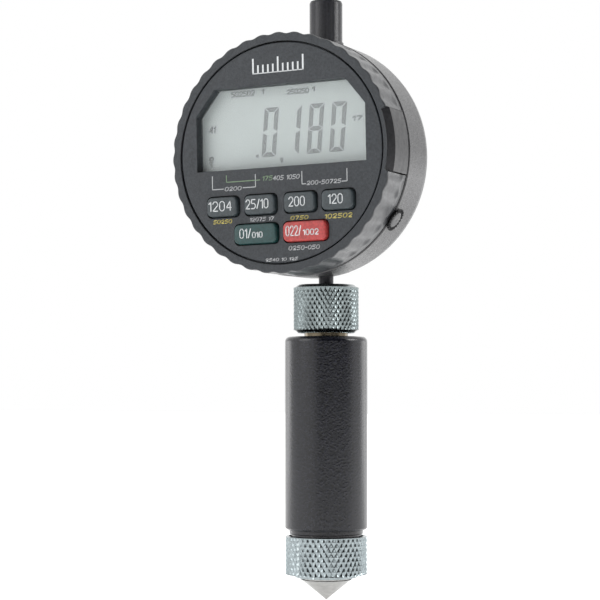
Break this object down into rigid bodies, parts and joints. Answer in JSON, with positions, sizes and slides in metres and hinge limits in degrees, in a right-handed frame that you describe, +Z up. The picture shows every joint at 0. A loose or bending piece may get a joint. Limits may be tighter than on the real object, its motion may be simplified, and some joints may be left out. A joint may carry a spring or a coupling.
{
  "type": "digital dial indicator",
  "caption": "Digital indicator with turning display, keys and sprung spindle, clamped by a knurled nut in a tubular countersink gauge body with adjustable foot ring and cone.",
  "frame": {"origin": "centre of the foot ring seat plane, on the spindle axis", "axes": "+Z up along the spindle, the dial faces -Y, +X to the right of the dial"},
  "size_m": [0.0587, 0.0316, 0.1485],
  "materials": {
    "bezel_plastic": "fine moulded texture",
    "face_plastic": "satin printed plate",
    "window": "clear",
    "lcd": "polarised film",
    "silicone": "matte",
    "board": "solder mask",
    "battery": "nickel plated",
    "spring_steel": "bright",
    "zinc_steel": "zinc plated",
    "socket_plastic": "moulded",
    "case_black": "satin black",
    "tube_black": "fine satin anodised",
    "stem_black": "black oxide",
    "bronze": "sintered",
    "brass_part": "turned",
    "ground_steel": "ground",
    "knurled_steel": "diamond knurled",
    "aluminium_part": "machined",
    "scale_glass": "etched",
    "key_slate": "satin",
    "key_green": "satin",
    "key_red": "satin"
  },
  "bodies": {
    "gauge_body": {"body_tube": "tube_black", "clamp_collet": "brass_part", "tube_nose": "tube_black", "plunger_bush": "bronze", "plunger_spring": "spring_steel"},
    "clamp_slider": {"clamp_ferrule": "zinc_steel"},
    "lock_nut": {"lock_nut": "knurled_steel"},
    "foot_slider": {"foot_friction_ring": "silicone"},
    "foot_ring": {"foot_ring": "knurled_steel"},
    "head": {"rear_case": "case_black", "back_cover": "case_black", "back_screws": "zinc_steel", "dust_cap": "tube_black", "upper_bush": "bronze", "stem": "stem_black", "stem_bush": "bronze", "encoder_reader": "board", "guide_rod": "ground_steel", "bezel_snap_ring": "spring_steel", "return_spring": "spring_steel"},
    "display": {"bezel_ring": "bezel_plastic", "face_plate": "face_plastic", "lcd_window": "window", "lcd_panel": "lcd", "keypad_mat": "silicone", "main_board": "board", "battery_cell": "battery", "battery_clip": "spring_steel", "display_back": "bezel_plastic", "display_screws": "zinc_steel", "data_socket": "socket_plastic", "port_cover": "bezel_plastic"},
    "spindle": {"spindle_rod": "ground_steel", "guide_arm": "aluminium_part", "encoder_scale": "scale_glass", "plunger": "ground_steel", "contact_cone": "ground_steel"},
    "bezel_lock": {"bezel_lock_screw": "stem_black"},
    "key_hold": {"key_hold": "key_slate"},
    "key_units": {"key_units": "key_slate"},
    "key_second": {"key_second": "key_slate"},
    "key_limits": {"key_limits": "key_slate"},
    "key_on": {"key_on": "key_green"},
    "key_off": {"key_off": "key_red"}
  },
  "joints": [
    {"name": "head_swivel", "type": "hinge", "parent": "gauge_body", "child": "head", "pos_m": [0, 0, 0.06], "axis": [0, 0, 1], "range_deg": [-180, 180]},
    {"name": "lock_nut_travel", "type": "slide", "parent": "gauge_body", "child": "clamp_slider", "axis": [0, 0, 1], "range_m": [-0.0005, 0.0005]},
    {"name": "lock_nut_turn", "type": "hinge", "parent": "clamp_slider", "child": "lock_nut", "pos_m": [0, 0, 0.066], "axis": [0, 0, 1], "range_deg": [-180, 180]},
    {"name": "foot_travel", "type": "slide", "parent": "gauge_body", "child": "foot_slider", "axis": [0, 0, 1], "range_m": [-0.0012, 0.0012]},
    {"name": "foot_ring_turn", "type": "hinge", "parent": "foot_slider", "child": "foot_ring", "pos_m": [0, 0, 0.005], "axis": [0, 0, 1], "range_deg": [-540, 540]},
    {"name": "spindle_slide", "type": "slide", "parent": "head", "child": "spindle", "axis": [0, 0, 1], "range_m": [0, 0.005], "stiffness_N_per_m": 150, "springref_m": -0.006, "deforming": ["plunger_spring", "return_spring"]},
    {"name": "display_turn", "type": "hinge", "parent": "head", "child": "display", "pos_m": [-0.003, -0.0205, 0.1032], "axis": [0, 1, 0], "range_deg": [-135, 135]},
    {"name": "bezel_lock_turn", "type": "hinge", "parent": "head", "child": "bezel_lock", "pos_m": [0.02166, -0.0082, 0.08719], "axis": [0.8387, 0, -0.5446], "range_deg": [0, 180]},
    {"name": "key_hold_press", "type": "slide", "parent": "display", "child": "key_hold", "axis": [0, 1, 0], "range_m": [0, 0.0005], "stiffness_N_per_m": 800, "springref_m": -0.0005},
    {"name": "key_units_press", "type": "slide", "parent": "display", "child": "key_units", "axis": [0, 1, 0], "range_m": [0, 0.0005], "stiffness_N_per_m": 800, "springref_m": -0.0005},
    {"name": "key_second_press", "type": "slide", "parent": "display", "child": "key_second", "axis": [0, 1, 0], "range_m": [0, 0.0005], "stiffness_N_per_m": 800, "springref_m": -0.0005},
    {"name": "key_limits_press", "type": "slide", "parent": "display", "child": "key_limits", "axis": [0, 1, 0], "range_m": [0, 0.0005], "stiffness_N_per_m": 800, "springref_m": -0.0005},
    {"name": "key_on_press", "type": "slide", "parent": "display", "child": "key_on", "axis": [0, 1, 0], "range_m": [0, 0.0005], "stiffness_N_per_m": 800, "springref_m": -0.0005},
    {"name": "key_off_press", "type": "slide", "parent": "display", "child": "key_off", "axis": [0, 1, 0], "range_m": [0, 0.0005], "stiffness_N_per_m": 800, "springref_m": -0.0005}
  ],
  "couplings": [
    {"joint": "lock_nut_turn", "follows": "lock_nut_travel", "rad_per_m": 6283.2},
    {"joint": "foot_ring_turn", "follows": "foot_travel", "rad_per_m": 7854}
  ]
}
